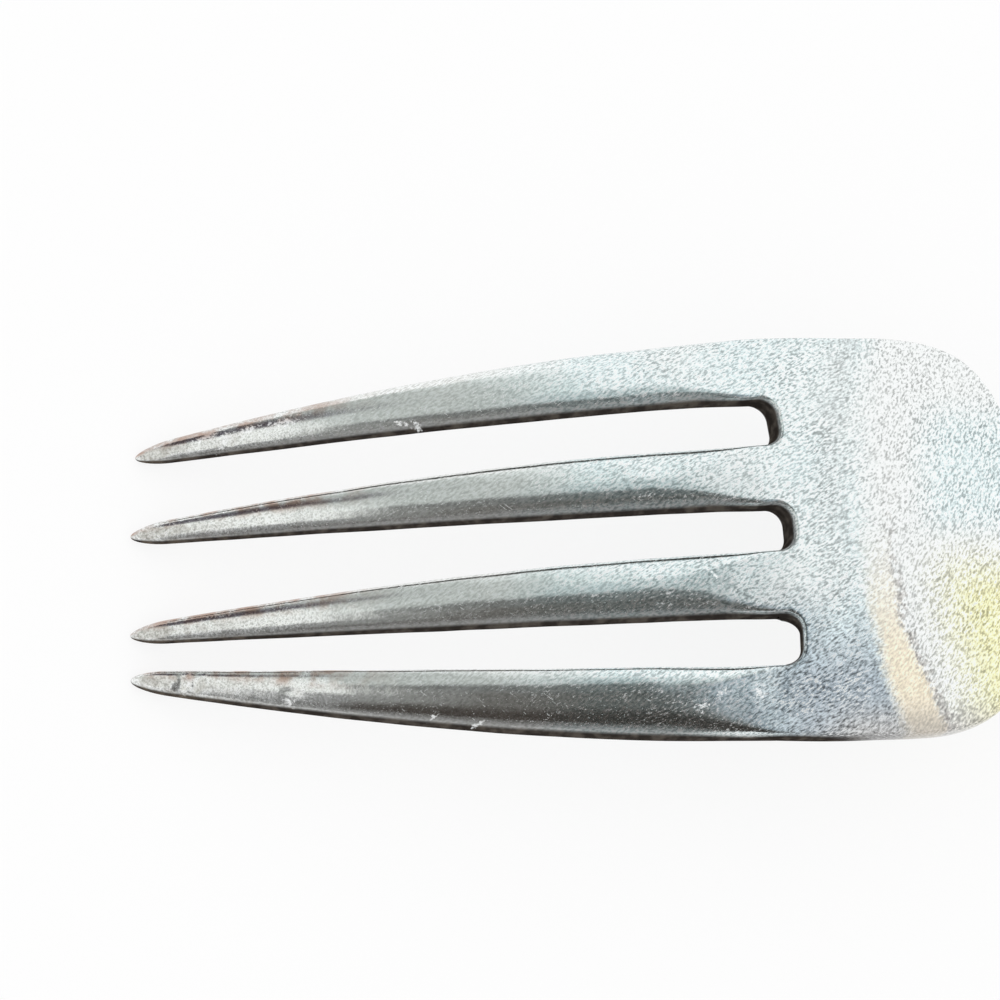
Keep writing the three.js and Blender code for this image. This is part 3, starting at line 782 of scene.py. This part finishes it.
def shell_points(inset, side):
    """Rows over the upper (side 1) or lower (side -1) half of the handle, from mouth to closed end."""
    end_start = OVERALL_LENGTH - HANDLE_END_LENGTH
    body = np.linspace(HANDLE_START, end_start, SHELL_ROWS, endpoint=False)
    turn = np.linspace(0, np.pi / 2, SHELL_END_ROWS)
    plain = np.concatenate([body, end_start + HANDLE_END_LENGTH * np.sin(turn)])[:, None]
    past_mouth = plain - HANDLE_START
    width = lerp(MOUTH_DIAMETER, HANDLE_WIDTH, smoothstep(past_mouth / HANDLE_WIDEN_LENGTH))
    flat_share = ease_out(clamp01(past_mouth / FLAT_WIDEN_LENGTH))
    thickness = lerp(MOUTH_DIAMETER, HANDLE_THICKNESS, flat_share)
    close = round_end((OVERALL_LENGTH - plain) / HANDLE_END_LENGTH)
    flat = lerp(MOUTH_FLAT_WIDTH, FLAT_WIDTH, flat_share) / 2 * close
    half = (width / 2 - inset) * close
    rise = (thickness / 2 - inset) * close
    angle = np.linspace(0, np.pi / 2, SHELL_COLUMNS + 1)
    right = flat + (half - flat) * np.cos(angle)
    lift = rise * np.sin(angle)
    y = np.concatenate([right, -right[:, ::-1]], axis=1)
    z = HANDLE_AXIS_Z + side * np.concatenate([lift, lift[:, ::-1]], axis=1)
    squeeze = (OVERALL_LENGTH - inset - HANDLE_START) / (OVERALL_LENGTH - HANDLE_START)
    return points_of(HANDLE_START + past_mouth * squeeze, y, z)


def make_shell(name, side):
    """Half of the drawn handle: outer skin, inner skin, mouth and the flat seam faces along both edges."""
    outer = shell_points(0.0, side)
    inner = shell_points(SHELL_WALL, side)
    upper = side > 0
    skin = Skin()
    skin.grid(outer, flip=not upper)
    skin.grid(inner, flip=upper)
    skin.grid(np.stack([outer[0], inner[0]]), flip=upper)
    skin.grid(np.stack([outer[:, 0], inner[:, 0]]), flip=not upper)
    skin.grid(np.stack([outer[:, -1], inner[:, -1]]), flip=upper)
    return skin.mesh_object(name)


# Materials
class Shader:
    """A material's nodes, with positions in millimetres."""

    def __init__(self, name):
        self.material = bpy.data.materials.new(name)
        self.material.use_nodes = True
        self.tree = self.material.node_tree
        self.surface = self.tree.nodes["Principled BSDF"]
        place = self.tree.nodes.new("ShaderNodeTexCoord").outputs["Object"]
        scaled = self.node("ShaderNodeVectorMath", {"operation": "SCALE"}, {0: place, "Scale": 1 / MM})
        self.place = scaled.outputs[0]
        parts = self.node("ShaderNodeSeparateXYZ", {}, {0: self.place})
        self.station = self.math("SUBTRACT", parts.outputs["X"], TIP_X)
        self.y = parts.outputs["Y"]

    def node(self, kind, settings, inputs):
        made = self.tree.nodes.new(kind)
        for name, value in settings.items():
            setattr(made, name, value)
        for name, value in inputs.items():
            self.feed(made.inputs[name], value)
        return made

    def feed(self, socket, value):
        if isinstance(value, bpy.types.NodeSocket):
            self.tree.links.new(value, socket)
        else:
            socket.default_value = value

    def math(self, operation, first, second=0.0, third=0.0):
        inputs = {0: first, 1: second, 2: third}
        return self.node("ShaderNodeMath", {"operation": operation}, inputs).outputs[0]

    def noise(self, size, detail=2.0, place=None):
        """Soft noise with features of about that size, from 0 to 1."""
        place = place or self.place
        inputs = {"Vector": place, "Scale": 1 / size, "Detail": detail}
        return self.node("ShaderNodeTexNoise", {}, inputs).outputs["Fac"]

    def sway(self, size, detail, reach):
        """Noise that swings to both sides of 0, by half the reach at most."""
        return self.math("MULTIPLY_ADD", self.noise(size, detail), reach, -reach / 2)

    def strokes(self, length, width, degrees, detail=1.0):
        """Noise drawn out along a direction in the plane of the table."""
        turned = self.node(
            "ShaderNodeMapping",
            {"vector_type": "TEXTURE"},
            {
                "Vector": self.place,
                "Rotation": (0, 0, math.radians(degrees)),
                "Scale": (length, width, width),
            },
        )
        return self.noise(1.0, detail, turned.outputs[0])

    def ramp(self, value, low, high):
        """0 below low, 1 above high and smooth between; the other way round where low is the greater."""
        inputs = {"Value": value, "From Min": low, "From Max": high}
        return self.node("ShaderNodeMapRange", {"interpolation_type": "SMOOTHSTEP"}, inputs).outputs[0]

    def mix(self, share, first, second):
        """One colour into another."""
        made = self.node("ShaderNodeMix", {"data_type": "RGBA"}, {"Factor": share})
        for socket, colour in ((made.inputs[6], first), (made.inputs[7], second)):
            self.feed(socket, colour if isinstance(colour, bpy.types.NodeSocket) else (*colour, 1.0))
        return made.outputs[2]

    def blend(self, share, first, second):
        """One value into another."""
        return self.math("MULTIPLY_ADD", share, self.math("SUBTRACT", second, first), first)

    def attribute(self, name):
        return self.node("ShaderNodeAttribute", {"attribute_name": name}, {}).outputs["Fac"]

    def bump(self, height, depth, normal=None):
        """Normals for a height from 0 to 1 that stands for a depth in millimetres."""
        inputs = {"Height": height, "Distance": depth * MM}
        if normal is not None:
            inputs["Normal"] = normal
        return self.node("ShaderNodeBump", {}, inputs).outputs[0]


def product(s, first, *others):
    for other in others:
        first = s.math("MULTIPLY", first, other)
    return first


def palm_tone_and_painted_light(s, tone):
    """Painted light over the palm, with the shares of its blue and its tan.

    A paler painted highlight lies past the crest, with a grey painted shade band before it and a painted sky
    reflection towards the far side. A blue-grey painted reflection lies towards the near edge, a painted tan
    reflection on the crest with a painted dark line behind it, and yellow painted reflection beyond. Painted
    shade runs along the near edge. Last comes the change to the handle's tone.
    """
    bow = s.math("SUBTRACT", s.y, CREST_BOW_Y)
    past = s.math("SUBTRACT", s.station, s.math("MULTIPLY_ADD", product(s, bow, bow), CREST_BOW, CROWN))
    for size, detail in CREST_RAGGED:
        past = s.math("ADD", past, s.sway(size, detail, CREST_SWAY))
    late = s.math("MULTIPLY_ADD", s.ramp(s.y, *LATE_Y), LATE_SHIFT, past)
    # Painted light over the palm: a paler painted highlight past the crest, a grey painted shade band before
    # it, a painted sky reflection, and blue, yellow and tan painted reflections
    tone = s.mix(s.ramp(past, *PALE_PAST), tone, PAINTED_PALE_HIGHLIGHT)
    shade = product(s, s.ramp(past, *SHADE_PAST), s.ramp(past, *SHADE_PAST_END), s.ramp(s.y, *SHADE_Y))
    tone = s.mix(product(s, shade, SHADE_SHARE), tone, PAINTED_SHADE_GREY)
    painted_sky = product(s, s.ramp(s.y, *SKY_Y), s.ramp(s.y, *SKY_Y_END), s.ramp(past, *SKY_PAST))
    tone = s.mix(painted_sky, tone, SILVER_COOL_AND_PAINTED_SKY)
    blue = product(s, s.ramp(s.y, *BLUE_Y), s.ramp(past, *BLUE_PAST), s.ramp(s.station, *BLUE_STATIONS))
    tone = s.mix(blue, tone, PAINTED_BLUE_REFLECTION)
    yellow = product(s, s.ramp(s.y, *YELLOW_Y), s.ramp(past, *YELLOW_PAST))
    tone = s.mix(yellow, tone, PAINTED_YELLOW_REFLECTION)
    tan = product(s, s.ramp(s.y, *TAN_Y), s.ramp(past, *TAN_PAST), s.ramp(late, *TAN_LATE))
    tone = s.mix(tan, tone, PAINTED_TAN_REFLECTION)
    # Painted shade: darker along the palm's near edge, and a painted dark line behind the crest
    edge = product(s, s.ramp(s.y, *EDGE_Y), s.ramp(s.station, *EDGE_STATIONS), EDGE_SHARE)
    tone = s.mix(edge, tone, PAINTED_DARK_SHADE)
    broken = s.ramp(s.noise(*LINE_CLOUDS), *LINE_CLOUD_RANGE)
    line = product(s, s.ramp(late, *LINE_LATE), s.ramp(late, *LINE_LATE_END), broken)
    tone = s.mix(product(s, line, s.ramp(s.y, *LINE_Y), LINE_SHARE), tone, PAINTED_DARK_SHADE)
    tone = s.mix(s.ramp(s.station, HANDLE_TONE_START, HANDLE_TONE_END), tone, SILVER_HANDLE)
    return tone, blue, tan


def head_grain(s, grain, blue):
    """The head's grain: turned on the shoulders, speckled at the tips and lifted a little on the painted
    blue reflection.
    """
    turned = s.strokes(*SHOULDER_GRAIN)
    grain = s.blend(s.ramp(s.station, *SHOULDER_GRAIN_STATIONS), grain, turned)
    grain = s.blend(s.ramp(s.station, *TIP_GRAIN_STATIONS), grain, s.noise(*TIP_GRAIN))
    return s.math("MULTIPLY_ADD", blue, BLUE_GRAIN, grain)


def head_worked(s, blue, tan):
    """How strongly the grain shows on the head: most on the palm and its painted blue, less on the painted
    tan.
    """
    tips = product(s, s.ramp(s.station, *TIP_WORKED_STATIONS), TIP_WORKED_SHARE)
    worked = s.math("MAXIMUM", s.ramp(s.station, *PALM_WORKED_STATIONS), tips)
    worked = product(s, worked, s.ramp(s.station, HANDLE_TONE_END, HANDLE_TONE_START))
    patchy = s.math("MULTIPLY_ADD", s.noise(*WORKED_CLOUDS), WORKED_CLOUD_SWING, WORKED_CLOUD_LEAST)
    worked = s.math("MULTIPLY_ADD", product(s, worked, patchy), WORKED_SWING, WORKED_LEAST)
    worked = s.math("MULTIPLY_ADD", blue, BLUE_WORKED, worked)
    return s.blend(product(s, tan, TAN_CALM), worked, 0.0)


def worn_patches(s):
    """Share of the white patches, with ragged edges."""
    ragged = s.sway(*PATCH_RAGGED, PATCH_SWAY)
    most = 0.0
    for station, y, length, width, degrees in WORN_PATCHES:
        turned = s.node(
            "ShaderNodeMapping",
            {"vector_type": "TEXTURE"},
            {
                "Vector": s.place,
                "Location": (station + TIP_X, y, 0),
                "Rotation": (0, 0, math.radians(degrees)),
                "Scale": (length, width, PALM_WIDTH),
            },
        )
        away = s.node("ShaderNodeVectorMath", {"operation": "LENGTH"}, {0: turned.outputs[0]})
        reach = s.math("ADD", away.outputs["Value"], ragged)
        most = s.math("MAXIMUM", most, s.ramp(reach, *PATCH_EDGE))
    return product(s, most, PATCH_SHARE)


def head_dirt_and_painted_light(s, colour, frost):
    """Rim tarnish and painted shade, worn patches, dirty tips and painted brown reflection over the plate's
    colour and frost.
    """
    # Rims darkened by tarnish, with painted shade where they face the near side
    tarnish_and_painted_shade = s.attribute("tarnish_and_painted_shade")
    flecks = s.ramp(s.noise(*FLECKS), *FLECK_RANGE)
    flecked = s.math("MULTIPLY_ADD", flecks, FLECK_SWING, FLECK_LEAST)
    rim_darkening = s.math("MAXIMUM", s.ramp(tarnish_and_painted_shade, *RIM_DARKENING_RANGE), product(s, tarnish_and_painted_shade, flecked))
    frost = product(s, frost, s.ramp(tarnish_and_painted_shade, *FROST_RIM_DARKENING_RANGE))
    rim_darkening_colour = s.mix(s.ramp(s.noise(*RIM_DARKENING_CLOUDS), *RIM_DARKENING_CLOUD_RANGE), TARNISH_AND_SHADE_DARK, TARNISH_AND_SHADE_PALE)
    colour = s.mix(rim_darkening, colour, rim_darkening_colour)
    patches = worn_patches(s)
    colour = s.mix(patches, colour, SILVER_BRIGHT)
    s.feed(s.surface.inputs["Metallic"], s.math("SUBTRACT", 1.0, s.math("MAXIMUM", rim_darkening, patches)))
    s.surface.inputs["Specular IOR Level"].default_value = 0.0
    dirt = s.ramp(s.noise(*TIP_DIRT_CLOUDS), *TIP_DIRT_RANGE)
    dirty_tip = product(s, s.ramp(s.station, *TIP_DIRT_STATIONS), dirt, TIP_DIRT_SHARE)
    colour = s.mix(dirty_tip, colour, TIP_DIRT)
    # Painted brown reflection of the table on the far side of the tips
    painted_brown = product(s, s.ramp(s.station, *BROWN_REFLECTION_STATIONS), s.ramp(s.attribute("across"), *BROWN_REFLECTION_ACROSS))
    painted_brown = product(s, painted_brown, s.ramp(s.noise(*BROWN_REFLECTION_CLOUDS), *BROWN_REFLECTION_CLOUD_RANGE))
    return s.mix(painted_brown, colour, PAINTED_BROWN_REFLECTION), frost


def silver_plate(name, soiled_and_painted):
    """Worn satin silver plate: fine grain, scratches and frost, and on the head tarnish, dirt and painted
    light.
    """
    s = Shader(name)
    rising, falling = [s.ramp(s.strokes(*stroke), *shown) for stroke, shown in SCRATCHES]
    scratch = s.math("MAXIMUM", rising, falling)
    grain = s.strokes(*GRAIN)
    if soiled_and_painted:
        warm = s.ramp(s.station, *WARM_STATIONS)
        warm = s.math("MULTIPLY_ADD", s.noise(WARM_CLOUD_SIZE), WARM_CLOUD_SHARE, warm)
        tone = s.mix(s.ramp(warm, *WARM_RANGE), SILVER_COOL_AND_PAINTED_SKY, SILVER_WARM)
        tone, blue, tan = palm_tone_and_painted_light(s, tone)
        grain = head_grain(s, grain, blue)
        worked = head_worked(s, blue, tan)
    else:
        clouds = s.ramp(s.noise(HANDLE_CLOUD_SIZE), *HANDLE_CLOUD_RANGE)
        tone = s.mix(clouds, SILVER_HANDLE, SILVER_SOFT)
        worked = HANDLE_WORKED
    swing = s.math("SUBTRACT", s.ramp(grain, *GRAIN_RANGE), 0.5)
    swing = s.math("MULTIPLY_ADD", product(s, swing, worked), GRAIN_CONTRAST, 1.0)
    tone = s.node("ShaderNodeVectorMath", {"operation": "SCALE"}, {0: tone, "Scale": swing}).outputs[0]
    tone = s.node("ShaderNodeVectorMath", {"operation": "MINIMUM"}, {0: tone, 1: SILVER_BRIGHT}).outputs[0]
    frost_clouds = s.ramp(s.noise(*FROST_CLOUDS), *FROST_CLOUD_RANGE)
    frost = product(s, s.ramp(grain, *FROST_RANGE), worked, frost_clouds)
    tone = s.mix(frost, tone, SILVER_BRIGHT)
    colour = s.mix(s.math("MULTIPLY", scratch, SCRATCH_SHARE), tone, SCRATCH)
    if soiled_and_painted:
        colour, frost = head_dirt_and_painted_light(s, colour, frost)
    else:
        s.surface.inputs["Metallic"].default_value = 1.0
    s.feed(s.surface.inputs["Base Color"], colour)
    rough = s.math("MULTIPLY_ADD", s.noise(*ROUGH_CLOUDS), ROUGH_SWING, ROUGH_LEAST)
    s.feed(s.surface.inputs["Roughness"], s.math("MULTIPLY_ADD", frost, FROST_ROUGHNESS, rough))
    normal = s.bump(s.noise(*DENTS), DENT_DEPTH)
    normal = s.bump(grain, GRAIN_DEPTH, normal)
    normal = s.bump(scratch, SCRATCH_DEPTH, normal)
    s.feed(s.surface.inputs["Normal"], normal)
    return s.material


def handle_resin():
    """Dull dark resin, as it set inside the handle."""
    s = Shader("set_resin")
    colour = s.mix(s.noise(*RESIN_CLOUDS), RESIN_DARK, RESIN_PALE)
    s.feed(s.surface.inputs["Base Color"], colour)
    s.surface.inputs["Roughness"].default_value = RESIN_ROUGHNESS
    s.feed(s.surface.inputs["Normal"], s.bump(s.noise(*RESIN_GRIT), RESIN_DEPTH))
    return s.material


# Stage
def white_floor():
    """White table, lifted towards plain white where it is seen or mirrored, so that shadows stay faint."""
    s = Shader("white_table")
    s.feed(s.surface.inputs["Base Color"], s.mix(s.noise(FLOOR_CLOUD_SIZE), FLOOR_WHITE, FLOOR_SHADE))
    s.surface.inputs["Roughness"].default_value = FLOOR_ROUGHNESS
    seen = s.node("ShaderNodeLightPath", {}, {}).outputs
    share = s.math("MAXIMUM", seen["Is Camera Ray"], seen["Is Glossy Ray"])
    share = s.math("MAXIMUM", share, seen["Is Transmission Ray"])
    glow = s.node("ShaderNodeEmission", {}, {"Strength": 1.0})
    lifted = s.node("ShaderNodeMixShader", {}, {0: s.math("MULTIPLY", share, FLOOR_GLOW)})
    s.feed(lifted.inputs[1], s.surface.outputs[0])
    s.feed(lifted.inputs[2], glow.outputs[0])
    s.feed(s.tree.nodes["Material Output"].inputs["Surface"], lifted.outputs[0])
    return s.material


def flat_card(name, width, height, material):
    mesh = bpy.data.meshes.new(name)
    x, y = width / 2, height / 2
    corners = [(-x, -y, 0), (x, -y, 0), (x, y, 0), (-x, y, 0)]
    mesh.from_pydata(corners, [], [(0, 1, 2, 3)])
    mesh.materials.append(material)
    card = bpy.data.objects.new(name, mesh)
    bpy.context.collection.objects.link(card)
    return card


def aim(thing, direction, distance):
    """Puts a lamp in that direction from the middle of the head, facing it."""
    away = Vector(direction).normalized()
    thing.location = HEAD_MIDDLE + away * distance
    thing.rotation_euler = away.to_track_quat("Z", "Y").to_euler()


def soft_lamp(name, direction, distance, size, radiance):
    """A square lamp that shines at an even radiance, where 1 is white."""
    lamp = bpy.data.lights.new(name, "AREA")
    lamp.shape = "SQUARE"
    lamp.size = size
    lamp.energy = radiance * math.pi * size * size
    piece = bpy.data.objects.new(name, lamp)
    piece.visible_camera = False
    bpy.context.collection.objects.link(piece)
    aim(piece, direction, distance)


def canopy_paint():
    """White cloth with soft grey zones, laid out over its curve."""
    s = Shader("canopy_cloth")
    parts = s.node("ShaderNodeSeparateXYZ", {}, {0: s.place}).outputs
    x, y = (s.math("DIVIDE", parts[axis], CANOPY_RADIUS / MM) for axis in "XY")
    colour = ROOM_COLOUR
    for zone, x_range, y_range, soft in CANOPY.values():
        share = 1.0
        for value, (low, high) in ((x, x_range), (y, y_range)):
            inside = s.ramp(value, low - soft, low + soft)
            share = product(s, inside, s.ramp(value, high + soft, high - soft), share)
        colour = s.mix(share, colour, zone)
    s.feed(s.surface.inputs["Base Color"], colour)
    s.surface.inputs["Roughness"].default_value = 1.0
    return s.material


def hang_canopy():
    """A curved cloth over the fork that only the metal mirrors; the table and the camera don't see it."""
    points = []
    for x in np.linspace(*CANOPY_SPAN_X, CANOPY_STEPS):
        for y in np.linspace(*CANOPY_SPAN_Y, CANOPY_STEPS):
            z = math.sqrt(max(1 - x * x - y * y, LOWEST_SINE**2))
            points.append(Vector((x, y, z)).normalized() * CANOPY_RADIUS)
    faces = []
    for row in range(CANOPY_STEPS - 1):
        for column in range(CANOPY_STEPS - 1):
            first = row * CANOPY_STEPS + column
            faces.append((first, first + CANOPY_STEPS, first + CANOPY_STEPS + 1, first + 1))
    mesh = bpy.data.meshes.new("canopy")
    mesh.from_pydata(points, [], faces)
    mesh.materials.append(canopy_paint())
    cloth = bpy.data.objects.new("canopy", mesh)
    cloth.location = HEAD_MIDDLE
    bpy.context.collection.objects.link(cloth)
    cloth.visible_camera = False
    cloth.visible_diffuse = False
    cloth.visible_shadow = False


def light_stage():
    flat_card("table", FLOOR_SIZE, FLOOR_SIZE, white_floor())
    world = bpy.data.worlds.new("soft_room")
    world.use_nodes = True
    world.node_tree.nodes["Background"].inputs["Color"].default_value = (*ROOM_COLOUR, 1.0)
    world.node_tree.nodes["Background"].inputs["Strength"].default_value = ROOM_LEVEL
    bpy.context.scene.world = world
    soft_lamp("window", WINDOW_DIRECTION, WINDOW_DISTANCE, WINDOW_SIZE, WINDOW_LEVEL)
    hang_canopy()


def place_camera():
    lean_x, lean_y, roll = map(math.radians, (CAMERA_LEAN_X, CAMERA_LEAN_Y, CAMERA_ROLL))
    back = Vector((-math.tan(lean_x), -math.tan(lean_y), 1)).normalized()
    right = Vector((0, 1, 0)).cross(back).normalized()
    up = back.cross(right)
    level = math.cos(roll) * right + math.sin(roll) * up
    upright = math.cos(roll) * up - math.sin(roll) * right
    data = bpy.data.cameras.new("camera")
    data.sensor_width = SENSOR_WIDTH
    data.lens = SENSOR_WIDTH * PIXELS_PER_MM * CAMERA_DISTANCE / PICTURE_WIDTH
    camera = bpy.data.objects.new("camera", data)
    bpy.context.collection.objects.link(camera)
    height = TIP_HEIGHT + ARCH_RISE * ease_out(AIM_STATION / CROWN) - dish_drop(AIM_STATION, AIM_Y)
    target = Vector((AIM_STATION + TIP_X, AIM_Y, height))
    camera.matrix_world = Matrix.Translation((target + back * CAMERA_DISTANCE) * MM) @ Matrix(
        (level, upright, back)
    ).transposed().to_4x4()
    bpy.context.scene.camera = camera


def dress(piece, node, material):
    """Makes a piece stand for a CAD node, with its material."""
    piece.data.materials.append(material)
    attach(piece, "root")
    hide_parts(node)


def build():
    # The head's material carries painted reflections and shade as well as its tarnish and dirt
    worn_and_painted = silver_plate("worn_silver_plate_and_painted_light", soiled_and_painted=True)
    bright = silver_plate("bright_silver_plate", soiled_and_painted=False)
    dress(make_head(), "fork_head", worn_and_painted)
    dress(make_ferrule(), "ferrule", bright)
    dress(make_shell("handle_top", 1), "upper_shell", bright)
    dress(make_shell("handle_bottom", -1), "lower_shell", bright)
    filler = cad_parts["filler"]
    filler.data.materials.clear()
    filler.data.materials.append(handle_resin())
    light_stage()
    place_camera()
    bpy.context.scene.view_settings.view_transform = "Standard"


build()
